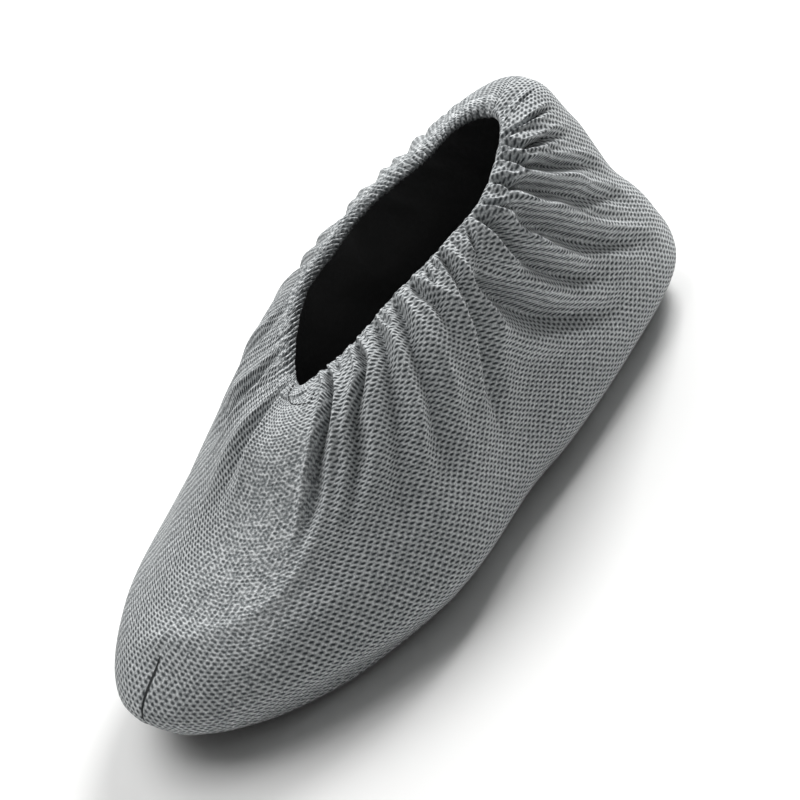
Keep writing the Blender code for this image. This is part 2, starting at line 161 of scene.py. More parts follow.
# Main folds, listed one by one. A fold is a valley with a lip on each side, or a ridge where its depth is
# negative; its line goes from the rim down, in turns on its own side.
folds = {
    "lipHeight": 0.36, "lipPlace": 1.75, "lipWidth": 0.75, "sharpness": 1.45,
    "rimWidth": 0.5, "widenOver": 0.35, "footFade": 0.55, "headFade": 0.25,
    "leftScale": 0.0028, "rightScale": 0.0014, "leftHold": 0.05, "rightHold": 0.06,
    "leftCalm": 0.007, "rightCalm": 0.03,  # distance from the rim over which the elastic flattens them
    # side, depth, width in thousandths of a turn, and the line from head to foot, in thousandths of a turn
    # and hundredths of the climb
    "rows": (
        (-1, 0.9, 10, ((155, 100), (148, 97), (133, 94), (115, 90), (90, 84))),
        (-1, 1.4, 12, ((222, 100), (218, 95), (215, 91), (189, 85), (150, 78))),
        (-1, 1.8, 12, ((240, 100), (266, 95), (282, 91), (262, 85), (218, 78), (165, 70))),
        (-1, 1.9, 13, ((285, 100), (308, 93), (317, 88), (283, 79), (244, 71), (185, 60), (140, 48))),
        (-1, -0.8, 10, ((351, 89), (326, 83), (285, 74), (213, 56), (159, 46))),
        (-1, 2.1, 15, ((346, 100), (360, 92), (328, 81), (298, 73), (255, 60), (178, 46), (140, 32))),
        (-1, -1.0, 10, ((378, 94), (371, 86), (341, 76), (299, 60), (253, 48), (214, 36), (174, 25))),
        (-1, 1.2, 10, ((405, 100), (402, 95), (391, 90), (365, 82), (340, 74))),
        (-1, 2.4, 17, ((395, 92), (386, 84), (376, 80), (340, 68), (296, 53), (255, 41), (221, 31),
            (180, 18))),
        (-1, -1.0, 10, ((418, 91), (411, 86), (401, 80), (369, 66), (329, 51), (302, 39), (271, 30),
            (224, 20))),
        (-1, 2.4, 16, ((431, 100), (427, 92), (417, 82), (406, 73), (373, 61), (335, 48), (308, 39),
            (265, 22))),
        (-1, 1.0, 8, ((455, 100), (468, 92), (475, 84))),
        (-1, -1.1, 11, ((501, 92), (478, 82), (431, 68), (389, 54), (366, 45), (337, 37), (294, 26))),
        (-1, 3.4, 23, ((486, 92), (476, 79), (456, 71), (431, 61), (399, 50), (368, 40), (336, 31),
            (280, 16))),
        (-1, -0.5, 9, ((528, 78), (521, 66), (519, 54), (520, 44), (530, 33))),
        (-1, 1.8, 14, ((525, 100), (520, 90), (514, 80), (509, 70), (506, 60), (505, 50), (510, 40),
            (525, 25))),
        (-1, 0.8, 7, ((545, 100), (538, 91))),
        (-1, 0.8, 7, ((565, 100), (558, 90))),
        (-1, 1.7, 15, ((597, 100), (585, 92), (570, 86), (560, 80), (550, 68))),
        (-1, 1.7, 18, ((640, 100), (632, 93), (630, 85), (627, 77), (620, 68), (608, 58), (596, 46),
            (585, 25))),
        (-1, 0.9, 8, ((675, 100), (650, 88))),
        (-1, 1.5, 18, ((694, 100), (684, 94), (677, 86), (674, 78), (672, 68), (667, 57), (657, 42),
            (650, 22))),
        (-1, 1.9, 13, ((750, 100), (730, 93), (721, 86), (733, 80), (741, 72), (738, 62), (735, 50),
            (735, 33))),
        (-1, 1.0, 10, ((810, 100), (780, 91))),
        (-1, 2.2, 14, ((845, 100), (805, 91), (800, 85), (807, 75), (817, 65), (815, 55), (812, 36))),
        (1, 2.3, 26, ((935, 100), (940, 85), (940, 70), (935, 52))),
        (1, 1.2, 12, ((870, 100), (855, 87))),
        (1, 2.5, 21, ((785, 100), (810, 87), (800, 78), (780, 70), (755, 55))),
        (1, 1.0, 9, ((735, 100), (745, 89))),
        (1, 1.9, 20, ((670, 100), (700, 86), (690, 75), (650, 58))),
        (1, 1.0, 9, ((620, 100), (630, 88))),
        (1, 2.2, 18, ((575, 100), (560, 86), (550, 76), (520, 62), (500, 48))),
        (1, 1.5, 12, ((530, 100), (520, 88), (500, 76))),
        (1, 3.2, 26, ((475, 100), (465, 84), (455, 72), (430, 58), (380, 40), (350, 30))),
        (1, 1.6, 13, ((440, 100), (435, 90), (420, 80))),
        (1, 2.4, 19, ((405, 100), (400, 88), (370, 74), (320, 56), (280, 38))),
        (1, 1.3, 12, ((365, 100), (370, 90), (345, 78))),
        (1, 2.2, 18, ((325, 100), (335, 88), (300, 74), (250, 60), (200, 42))),
        (1, 1.7, 15, ((275, 100), (295, 89), (260, 80), (200, 64))),
        (1, 1.5, 14, ((215, 100), (240, 90), (220, 84), (160, 72))),
        (1, 0.9, 12, ((130, 100), (160, 92), (140, 82))),
    ),
}


# each valley is -exp(-|q|^p) with a bell of lip height at its sides; q is the distance in widths
def foldPush(turn, climb, fromRim):
    around = np.mod(turn, 2.0)
    push = np.zeros(climb.shape)
    widen = folds["rimWidth"] + (1.0 - folds["rimWidth"]) * ease((1.0 - climb) / folds["widenOver"])
    for side, depth, width, line in folds["rows"]:
        lineTurns, lineClimbs = np.array(line)[::-1].T / ((1000.0,), (100.0,))
        own = around if side < 0 else 2.0 - around
        across = np.abs(own - np.interp(climb, lineClimbs, lineTurns)) / (width / 1000.0 * widen)
        valley = -np.exp(-across ** folds["sharpness"])
        lips = folds["lipHeight"] * np.exp(-((across - folds["lipPlace"]) / folds["lipWidth"]) ** 2)
        foot, head = lineClimbs[0], lineClimbs[-1]
        fade = ease((climb - foot) / (folds["footFade"] * (head - foot)))
        if head < 1.0:
            fade = fade * ease((head - climb) / (folds["headFade"] * (head - foot)))
        scale = folds["leftScale"] if side < 0 else folds["rightScale"]
        held, calm = ("leftHold", "leftCalm") if side < 0 else ("rightHold", "rightCalm")
        hold = folds[held] + (1.0 - folds[held]) * ease(fromRim / folds[calm])
        push += scale * depth * fade * hold * (valley + lips)
    return push


gathers = {
    "lipPitch": 0.0034, "lipHeight": 0.0012, "lipReach": 0.009,
    "puffPitch": 0.0068, "puffHeight": 0.0015, "puffReach": 0.017,
    "roundness": 0.7, "middle": 0.62, "edgeShare": 0.12, "edgeRise": 0.0055,
    "rightShare": 0.22, "slant": 0.35, "frontShare": 0.55, "frontTurn": 1.21, "frontHalf": 0.09,
    "strays": ((0.002, 7, 1.3), (0.0011, 13, 0.4), (0.0007, 23, 2.2), (0.00035, 41, 0.9)),
    "tabHalfTurn": 0.104, "tabFade": 0.03,
    "uneven": 0.28, "unevenWaves": ((9, 0.7), (5, 2.0)), "slantWaves": (2.0, 5.0), "sideChange": 3.0,
    # narrowShade, deepShade and mostShade set how dark the painted crease shade gets
    "narrowShade": 0.32, "deepShade": 0.3, "deep": 0.005, "deepFrom": 0.25, "deepReach": 0.03,
    "mostShade": 0.9,
}


def leftShare(turn):  # 1 along the left side, 0 along the right, with a short change at heel and toe
    return ease(0.5 + gathers["sideChange"] * np.sin(np.pi * turn))


# small gathers: |sin| lips along the rim at two pitches, each fading with the distance from the rim; the
# strays are slow waves that make their pitch uneven. Gives each set's height, strength and lips
def gatherLips(turn, fromRim):
    along = np.interp(np.mod(turn, 2.0), arcTurns, rimArc)
    circle = along / rimArc[-1] * 2.0 * np.pi
    stray = sum(size * np.sin(count * circle + start) for size, count, start in gathers["strays"])
    first, second = (np.sin(count * circle + start) for count, start in gathers["unevenWaves"])
    uneven = 1.0 - gathers["uneven"] + gathers["uneven"] * first * second
    front = np.exp(-((np.mod(turn, 2.0) - gathers["frontTurn"]) / gathers["frontHalf"]) ** 2)
    right = gathers["rightShare"] + gathers["frontShare"] * front
    uneven = uneven * (right + (1.0 - right) * leftShare(turn))
    calm = ease((np.abs(np.mod(turn, 2.0) - 1.0) - gathers["tabHalfTurn"]) / gathers["tabFade"])
    edge = gathers["edgeShare"] + (1.0 - gathers["edgeShare"]) * ease(fromRim / gathers["edgeRise"])
    down, onward = gathers["slantWaves"]
    for kind in ("lip", "puff"):
        pitch, height, reach = (gathers[kind + part] for part in ("Pitch", "Height", "Reach"))
        slide = gathers["slant"] * np.sin(down * fromRim / reach + onward * circle)
        lips = np.abs(np.sin(np.pi * (along + stray) / pitch + slide)) ** gathers["roundness"]
        yield height, uneven * calm * edge * np.exp(-(fromRim / reach) ** 2), lips


def gatherPush(turn, fromRim):  # each set's lips about their middle height
    return sum(height * strength * (lips - gathers["middle"])
               for height, strength, lips in gatherLips(turn, fromRim))


# painted shade: near 1 in the bottom of a gather or of a deep fold beside the rim, where cloth meets cloth;
# it darkens the knit's colour there
def paintedShadeShare(turn, climb):
    fromRim = (1.0 - np.minimum(climb, 1.0)) * climbLength(turn)
    narrow = sum(strength * (1.0 - lips) ** 2 for _, strength, lips in gatherLips(turn, fromRim))
    deep = np.clip(-foldPush(turn, climb, fromRim) / gathers["deep"] - gathers["deepFrom"], 0.0, 1.0)
    deep = deep * np.exp(-(fromRim / gathers["deepReach"]) ** 2)
    return np.clip(gathers["narrowShade"] * narrow + gathers["deepShade"] * deep, 0.0, gathers["mostShade"])


toeSeam = {
    "grooveDepth": 0.0006, "grooveWidth": 0.0004, "top": 0.255, "topFade": 0.025,
    "notchDepth": 0.0016, "notchWidth": 0.0022, "notchHeight": 0.035,
    "keelHeight": 0.002, "keelHalf": 0.03, "keelRise": 0.12, "keelTop": 0.34, "keelFade": 0.22,
    "puckerHeight": 0.00012, "puckerPitch": 0.012, "puckerStart": 0.6, "puckerMiddle": 0.015,
    "puckerRise": 0.07, "puckerSpan": 0.085,
    # edge of the toe box on the left, in turns and climbs, and the metres of one turn and one climb
    "crestLine": ((1.0, 0.255), (0.965, 0.3), (0.915, 0.318), (0.867, 0.34), (0.835, 0.358), (0.815, 0.39),
                  (0.806, 0.44), (0.801, 0.5)),
    "crestScale": (0.23, 0.12), "crestHeight": 0.0014, "crestHalf": 0.011,
}


# the toe: a dart seam as a narrow groove, a soft keel above it, a notch and puckers at the sole seam, and
# a tent along the edge of the toe box, whose height falls with the square of the distance from its line
def toePush(turn, climb):
    offToe = np.abs(np.interp(np.mod(turn, 2.0), arcTurns, bulgeArc) - toeArc)
    seamFade = 1.0 - ease((climb - toeSeam["top"]) / toeSeam["topFade"])
    groove = -toeSeam["grooveDepth"] * np.exp(-(offToe / toeSeam["grooveWidth"]) ** 2) * seamFade
    low = np.exp(-(np.maximum(climb, 0.0) / toeSeam["notchHeight"]) ** 2)
    notch = -toeSeam["notchDepth"] * np.exp(-(offToe / toeSeam["notchWidth"]) ** 2) * low
    keelEnd = ease((climb - toeSeam["keelTop"]) / toeSeam["keelFade"])
    keelFade = ease(climb / toeSeam["keelRise"]) * (1.0 - keelEnd)
    keel = toeSeam["keelHeight"] * np.clip(1.0 - offToe / toeSeam["keelHalf"], 0, 1) ** 2 * keelFade
    wave = np.sin(2 * np.pi * offToe / toeSeam["puckerPitch"] + toeSeam["puckerStart"])
    pucker = toeSeam["puckerHeight"] * wave
    pucker = pucker * np.exp(-((climb - toeSeam["puckerMiddle"]) / toeSeam["puckerRise"]) ** 2)
    pucker = pucker * np.exp(-(offToe / toeSeam["puckerSpan"]) ** 2)
    scale = np.array(toeSeam["crestScale"])
    place = np.stack(np.broadcast_arrays(np.mod(turn, 2.0), climb), axis=-1) * scale
    corners = np.array(toeSeam["crestLine"]) * scale
    away = np.full(climb.shape, np.inf)
    for start, end in zip(corners[:-1], corners[1:]):
        share = np.clip(((place - start) @ (end - start)) / ((end - start) @ (end - start)), 0, 1)
        away = np.minimum(away, np.linalg.norm(place - start - share[..., None] * (end - start), axis=-1))
    crest = toeSeam["crestHeight"] * np.clip(1.0 - away / toeSeam["crestHalf"], 0, 1) ** 2
    return groove + notch + keel + pucker + crest


# Slack: a few slow waves, under half a millimetre, where the cloth isn't tight.
slack = {"height": 0.00022, "waves": (  # weight, then two waves (waves per turn, per climb, start)
    (1.0, (19, 9, 0.0), (5, 13, 0.0)),
    (0.8, (31, -17, 1.0), (0, 23, 2.0)),
)}


def slackPush(turn, climb):  # sum of products of two sines of the turn and the climb
    total = 0.0
    for weight, *pair in slack["waves"]:
        first, second = (np.sin(a * turn + b * climb + start) for a, b, start in pair)
        total = total + weight * first * second
    return slack["height"] * total


# a point of the cloth: the smooth skin moved along its normal by folds, gathers, toe seam and lift
def clothPoints(turn, climb, lift=0.0, gatherShare=1.0):
    fromRim = (1.0 - climb) * climbLength(turn)
    push = (foldPush(turn, climb, fromRim) + gatherShare * gatherPush(turn, fromRim)
            + toePush(turn, climb) + slackPush(turn, climb))
    return smoothSkin(turn, climb) + (push + lift)[..., None] * smoothNormals(turn, climb)


# How the knit is laid, counted in its own cells along the rings and up the sides. The cells keep their
# size along each ring, a little less round the toe; lean and spread slant their columns, tilt their rows.
# Past the toe the columns keep their slant, so that the cells crowd towards the rim.
lay = {"steps": 800, "levels": 49, "middle": 0.62, "along": 285.0, "lean": -16.0, "spread": 30.0,
       "up": 358.0, "tilt": -50.0, "height": 0.125, "spreadEnd": 1.05,
       "toeStart": 0.85, "toeSpan": 0.3, "toeMore": 6.0, "window": 16}


def layLevels():  # distance along each level from the middle of the left side
    levels = np.linspace(0.0, 1.0, lay["levels"])[:, None] + np.zeros_like(layTurns)
    steps = np.linalg.norm(np.diff(smoothSkin(layTurns, levels), axis=1), axis=-1)
    own = np.concatenate([np.zeros((lay["levels"], 1)), np.cumsum(steps, axis=1)], axis=1)
    return own - own[:, [int(lay["middle"] / 2.0 * lay["steps"])]]


layTurns = np.linspace(0.0, 2.0, lay["steps"] + 1)
layAlong = layLevels()


# bilinear reading of the distance along; both counts are sums of that distance and the climb
def clothPlaces(turn, climb):
    column = turn / 2.0 * lay["steps"] + np.zeros(climb.shape)
    row = np.clip(climb, 0.0, 1.0) * (lay["levels"] - 1)
    c = np.clip(column.astype(int), 0, lay["steps"] - 1)
    r = np.clip(row.astype(int), 0, lay["levels"] - 2)
    s, t = column - c, row - r
    along = ((1 - s) * (1 - t) * layAlong[r, c] + s * (1 - t) * layAlong[r, c + 1]
             + (1 - s) * t * layAlong[r + 1, c] + s * t * layAlong[r + 1, c + 1])
    low = np.linalg.norm(np.diff(ringLines(turn)[:form["underRing"] + 1], axis=0), axis=-1).sum(axis=0)
    rise = climb * np.where(climb < 0.0, low, lay["height"])
    end = np.maximum(turn, lay["spreadEnd"])
    longer = np.interp([end, np.full(end.shape, lay["spreadEnd"])], layTurns, layAlong[-1] - layAlong[0])
    lean = lay["lean"] + lay["spread"] * (np.minimum(turn, lay["spreadEnd"]) - lay["middle"])
    lean = lean - lay["along"] * (longer[0] - longer[1])
    more = lay["toeMore"] * ease((turn - lay["toeStart"]) / lay["toeSpan"])
    return np.stack([lay["along"] * along + lean * np.clip(climb, 0.0, 1.0) + more,
                     lay["up"] * rise + lay["tilt"] * along], axis=-1)


def evened(values, half):  # mean of each value and its neighbours round a closed row
    wide = np.concatenate([np.zeros((len(values), 1)), values[:, -half:], values, values[:, :half]], axis=1)
    total = np.cumsum(wide, axis=1)
    return (total[:, 2 * half + 1:] - total[:, :-2 * half - 1]) / (2 * half + 1)


# how far cells slide along a row so that a gather's slopes carry as many as their own length asks for
def slopeSlide(points, plain):
    step, flat = (np.linalg.norm(np.roll(grid, -1, axis=1) - grid, axis=-1) for grid in (points, plain))
    spare = (step / flat / evened(step / flat, lay["window"]) - 1.0) * flat
    slide = np.roll(np.cumsum(spare, axis=1), 1, axis=1)
    slide[:, 0] = 0.0
    return slide - evened(slide, lay["window"])


def gridFaces(rows, columns, closed):  # quads of a grid, row by row; a closed grid joins its ends
    row = np.arange(rows - 1)[:, None]
    column = np.arange(columns if closed else columns - 1)[None, :]
    after = (column + 1) % columns
    low, high = row * columns, (row + 1) * columns
    return np.stack([low + column, high + column, high + after, low + after], -1).reshape(-1, 4)


def cornerPlaces(places):  # the places at the corners of an open grid's quads
    return places.reshape(-1, 2)[gridFaces(*places.shape[:2], False).ravel()]


# triangles of closed beads, each with rings of points between a low and a high pole
def beadFaces(rings, sides, count):
    quads = gridFaces(rings, sides, True)
    side = np.arange(sides)
    after, low = (side + 1) % sides, np.full(sides, rings * sides)
    top = (rings - 1) * sides
    bead = np.concatenate([quads[:, [0, 1, 2]], quads[:, [0, 2, 3]], np.stack([side, after, low], -1),
                           np.stack([top + after, top + side, low + 1], -1)])
    return (bead + (rings * sides + 2) * np.arange(count)[:, None, None]).reshape(-1, 3)


def toLinear(code):  # sRGB hex to linear red, green, blue
    parts = np.array([int(code[place:place + 2], 16) / 255.0 for place in (1, 3, 5)])
    return tuple(np.where(parts <= 0.04045, parts / 12.92, ((parts + 0.055) / 1.055) ** 2.4)) + (1.0,)


def addNode(tree, kind, inputs=(), **settings):  # sets and links a node, and gives its outputs
    node = tree.nodes.new("ShaderNode" + kind)
    for name, value in settings.items():
        setattr(node, name, value)
    for name, value in dict(inputs).items():
        if isinstance(value, bpy.types.NodeSocket):
            tree.links.new(value, node.inputs[name])
        else:
            node.inputs[name].default_value = value
    return node.outputs


def newMaterial(name, settings):
    material = bpy.data.materials.new(name)
    material.use_nodes = True
    tree = material.node_tree
    shader = tree.nodes["Principled BSDF"]
    for socket, value in settings.items():
        shader.inputs[socket].default_value = value
    return material, tree, shader


def addPiece(name, points, faces, material, uv=None, shares=()):
    mesh = bpy.data.meshes.new(name)
    corners = faces.shape[1]
    mesh.vertices.add(len(points))
    mesh.vertices.foreach_set("co", np.ascontiguousarray(points, dtype=np.float32).ravel())
    mesh.loops.add(faces.size)
    mesh.loops.foreach_set("vertex_index", np.ascontiguousarray(faces, dtype=np.int32).ravel())
    mesh.polygons.add(len(faces))
    mesh.polygons.foreach_set("loop_start", np.arange(len(faces), dtype=np.int32) * corners)
    mesh.update(calc_edges=True)
    if uv is not None:
        layer = mesh.uv_layers.new(name="laidCloth")
        layer.data.foreach_set("uv", np.ascontiguousarray(uv, dtype=np.float32).ravel())
    for share, values in dict(shares).items():
        layer = mesh.attributes.new(share, "FLOAT", "POINT")
        layer.data.foreach_set("value", np.ascontiguousarray(values, dtype=np.float32).ravel())
    mesh.validate()
    mesh.shade_smooth()
    mesh.materials.append(material)
    piece = bpy.data.objects.new(name, mesh)
    bpy.context.scene.collection.objects.link(piece)
    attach(piece, "root")
    print("%s: %d faces" % (name, len(faces)))
    return piece


# Polyester mesh knit: a net of pale matt yarn with staggered slits, through which a dark lining shows.
# Three waves make the net: two slanted ones that cross and one up the sides that narrows the slits.
meshLook = {
    "waves": ((-1.0, 1.0, 0.64), (1.0, 1.0, 0.46), (0.0, 2.0, 0.56)),  # along, up, weight
    "slitStart": -1.05, "slitFull": 1.35,
    "yarnLight": "#eef1f2", "yarnDark": "#83888a", "slit": "#363b3e",
    "drift": 90.0, "fuzz": 1500.0, "pebble": 820.0,  # noise cells per metre
    "stray": 0.25, "slitLoss": 0.4, "bump": 0.8, "depth": 0.00045, "fuzzRise": 0.5,
    "pebbleSpread": 0.9, "pebbleFrom": (0.15, 0.75), "pebbleTo": (-0.75, 0.35), "plainGrain": 0.25,
    "moreGrain": 0.4, "toneFrom": (0.15, 0.85),
    "rimPebble": 0.007, "rimShare": 0.2, "vampTurn": 0.91, "vampHalf": 0.105, "vampPower": 4,
    "vampStart": 0.22, "vampRise": 0.15, "vampLow": 0.25, "topStart": 0.68, "topSpan": 0.14, "topLoss": 0.6,
}


def meshKnit(look):
    material, tree, shader = newMaterial("polyesterMeshKnit", {
        "Roughness": 0.82, "Specular IOR Level": 0.25, "Sheen Weight": 0.18, "Sheen Roughness": 0.45})
    laid = addNode(tree, "UVMap", uv_map="laidCloth")["UV"]
    place = addNode(tree, "TexCoord")["Object"]
    pebbled, paintedCreaseShade = (
        addNode(tree, "Attribute", attribute_name=name)["Fac"] for name in ("pebbled", "paintedCreaseShade"))
    drift, fuzz = (
        addNode(tree, "TexNoise", {"Vector": place, "Scale": look[name], "Detail": 2.0})
        for name in ("drift", "fuzz"))
    pebble = addNode(tree, "TexVoronoi", {
        "Vector": place, "Scale": look["pebble"], "Randomness": look["pebbleSpread"]})["Distance"]
    centred = addNode(tree, "VectorMath", {0: drift["Color"], 1: (0.5, 0.5, 0.5)}, operation="SUBTRACT")[0]
    strayed = addNode(tree, "VectorMath", {0: centred, 1: (2 * look["stray"],) * 3, 2: laid},
                      operation="MULTIPLY_ADD")[0]
    net = 0.0
    for along, up, weight in look["waves"]:
        wave = (2 * np.pi * along, 2 * np.pi * up, 0.0)
        phase = addNode(tree, "VectorMath", {0: strayed, 1: wave}, operation="DOT_PRODUCT")["Value"]
        ripple = addNode(tree, "Math", {0: phase}, operation="COSINE")[0]
        net = addNode(tree, "Math", {0: ripple, 1: weight, 2: net}, operation="MULTIPLY_ADD")[0]
    slit = addNode(tree, "MapRange", {
        "Value": net, "From Min": look["slitStart"], "From Max": look["slitFull"]},
        interpolation_type="SMOOTHSTEP")[0]
    kept = addNode(tree, "Math", {0: pebbled, 1: -look["slitLoss"], 2: 1.0}, operation="MULTIPLY_ADD")[0]
    slit = addNode(tree, "Math", {0: slit, 1: kept}, operation="MULTIPLY")[0]
    (low, high), (least, most) = look["pebbleFrom"], look["pebbleTo"]
    grain = addNode(tree, "MapRange", {"Value": pebble, "From Min": low, "From Max": high,
                                       "To Min": least, "To Max": most})[0]
    rough = addNode(tree, "Math", {0: pebbled, 1: look["moreGrain"], 2: look["plainGrain"]},
                    operation="MULTIPLY_ADD")[0]
    lump = addNode(tree, "Math", {0: grain, 1: rough}, operation="MULTIPLY")[0]
    tone = addNode(tree, "Math", {0: lump, 1: fuzz["Fac"]}, operation="ADD")[0]
    low, high = look["toneFrom"]
    tone = addNode(tree, "MapRange", {"Value": tone, "From Min": low, "From Max": high})[0]
    pale, grey, black = (toLinear(look[name]) for name in ("yarnLight", "yarnDark", "slit"))
    yarn = addNode(tree, "Mix", {0: tone, 6: grey, 7: pale}, data_type="RGBA")[2]
    # painted shade: the crease share mixes the yarn's colour towards the slit's dark colour
    whole = addNode(tree, "Math", {0: 1.0, 1: slit}, operation="SUBTRACT")[0]
    dark = addNode(tree, "Math", {0: whole, 1: paintedCreaseShade, 2: slit}, operation="MULTIPLY_ADD")[0]
    colour = addNode(tree, "Mix", {0: dark, 6: yarn, 7: black}, data_type="RGBA")[2]
    tree.links.new(colour, shader.inputs["Base Color"])
    rise = addNode(tree, "Math", {0: fuzz["Fac"], 1: look["fuzzRise"], 2: lump}, operation="MULTIPLY_ADD")[0]
    rise = addNode(tree, "Math", {0: rise, 1: slit}, operation="SUBTRACT")[0]
    bump = addNode(tree, "Bump", {"Height": rise, "Strength": look["bump"], "Distance": look["depth"]})[0]
    tree.links.new(bump, shader.inputs["Normal"])
    return material


meshMaterial = meshKnit(meshLook)


# 1 where the knit is drawn together and looks pebbled: beside the rim and on the middle of the vamp
def pebbleShare(turn, climb):
    fromRim = (1.0 - np.minimum(climb, 1.0)) * climbLength(turn)
    beside = meshLook["rimShare"] * (1.0 - ease((fromRim - meshLook["rimPebble"]) / meshLook["rimPebble"]))
    across = np.abs(np.mod(turn, 2.0) - meshLook["vampTurn"]) / meshLook["vampHalf"]
    low, upward = meshLook["vampLow"], ease((climb - meshLook["vampStart"]) / meshLook["vampRise"])
    vamp = np.exp(-across ** meshLook["vampPower"]) * (low + (1.0 - low) * upward)
    vamp = vamp * (1.0 - meshLook["topLoss"] * ease((climb - meshLook["topStart"]) / meshLook["topSpan"]))
    return np.maximum(beside, vamp)


# Upper: the mesh cloth's outer face, from the sole seam to under the hem.
upper = {"columns": 780, "rows": 112, "underRows": 8, "toeColumns": 12, "toeStep": 0.00025, "tuck": 0.0006,
         "tuckEnd": 3.0, "underHem": 0.0062, "leftUnderHem": 0.0022, "rowPower": 1.25, "rowShare": 0.75}


def upperColumns():  # even steps along the bulge, with a few close ones at the toe seam
    total = bulgeArc[-1]
    even = np.linspace(0.0, total, upper["columns"] + 1)[:-1]
    near = toeArc + upper["toeStep"] * np.arange(-upper["toeColumns"], upper["toeColumns"] + 1)
    apart = even[np.abs(even - toeArc) > upper["toeStep"] * (upper["toeColumns"] + 1)]
    turns = np.interp(np.sort(np.concatenate([apart, near])), bulgeArc, arcTurns)
    turns[np.argmin(np.abs(turns - 1.0))] = 1.0
    turns[0] = 0.0
    return turns


upperTurns = upperColumns()
upperLength = climbLength(upperTurns)
rowShare = np.linspace(0.0, 1.0, upper["rows"])
closer = 1.0 - (1.0 - rowShare) ** upper["rowPower"]  # closer rows towards the rim
rowShare = closer * upper["rowShare"] + (1.0 - upper["rowShare"]) * rowShare
upperSeam = seamClimb(upperTurns)
underShare = np.linspace(1.0, 0.0, upper["underRows"] + 1)[:-1, None]
upperUnder = upper["underHem"] + (upper["leftUnderHem"] - upper["underHem"]) * leftShare(upperTurns)
upperTop = 1.0 - upperUnder / upperLength
upperClimb = np.concatenate([underShare * upperSeam, rowShare[:, None] * upperTop])
tucked = upperClimb / upperSeam * upper["tuckEnd"] + 1.0 - upper["tuckEnd"]  # the last third before the seam
turnedIn = -upper["tuck"] * np.clip(tucked, 0, 1) ** 2
upperPoints = clothPoints(upperTurns, upperClimb, turnedIn)
upperPlaces = clothPlaces(np.append(upperTurns, 2.0), np.concatenate([upperClimb, upperClimb[:, :1]], axis=1))
upperSlide = slopeSlide(upperPoints, smoothSkin(upperTurns, upperClimb))
upperPlaces[:, :-1] += upperSlide[..., None] * (lay["along"], lay["tilt"])
# the crease share is painted shade in the gathers and deep folds
upperShares = {"pebbled": pebbleShare(upperTurns, upperClimb), "paintedCreaseShade": paintedShadeShare(upperTurns, upperClimb)}
upperFaces = gridFaces(len(upperClimb), len(upperTurns), True)
upperCloth = addPiece("upperCloth", upperPoints.reshape(-1, 3), upperFaces, meshMaterial,
                      cornerPlaces(upperPlaces), upperShares)
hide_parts("upper")

# Hem: the ruched casing, a rolled profile carried along the rim. On the right it lies over the cloth; on the
# left its outer side sinks under the cloth, which runs on to the edge.
hem = {
    "columns": 1300, "profileSteps": 30, "gap": 0.006,
    "profile": (  # mm from the rim along the skin, mm over the skin
        (9.2, -0.35), (8.2, 0.1), (7.0, 0.4), (5.5, 0.6), (4.0, 0.65), (2.6, 0.5), (1.4, 0.1),
        (0.5, -0.55), (0.1, -1.3), (0.3, -2.0), (1.0, -2.55), (2.0, -2.75), (3.2, -2.65), (4.2, -2.3),
        (4.8, -1.7),
    ),
    "crimpPitch": 0.0023, "crimpLeft": 0.0003, "crimpRight": 0.0011, "crimpFrom": 0.25, "crimpFull": 0.5,
    "crimpSlant": 9.0, "crimpPeak": 0.72, "crimpMiddle": 0.7, "crimpPower": 0.8,
    # crimpShade and shadePower set the painted shade between crimps
    "crimpShade": 0.95, "shadePower": 1.3,
    "leftSink": 0.0017, "sinkFrom": 0.0014, "sinkOver": 0.0026, "leftSmooth": 0.8,
    "lobePitch": 0.01, "lobeHeight": 0.0003, "lobeReach": 0.004, "lobeMiddle": 0.6, "edgeClimb": 0.985,
    "strays": ((0.8, 0.021, 0.0), (0.6, 0.0134, 1.0)), "crimpStray": 0.5, "lobeStray": 0.4,
}


def smoothProfile(rows, steps):  # the profile read at even steps of its own length
    corners = 0.001 * np.array(rows)
    reach = np.concatenate([[0.0], np.cumsum(np.linalg.norm(np.diff(corners, axis=0), axis=-1))])
    even = np.linspace(0.0, reach[-1], steps)
    return np.interp(even, reach, corners[:, 0]), np.interp(even, reach, corners[:, 1])


def rolledPlaces(turn, climb, fromRim):  # cloth places of a rolled profile; on its inner side climb goes on
    inner = np.arange(len(fromRim)) > np.argmin(fromRim)
    return cornerPlaces(clothPlaces(turn, np.where(inner[:, None], 2.0 - climb, climb)))


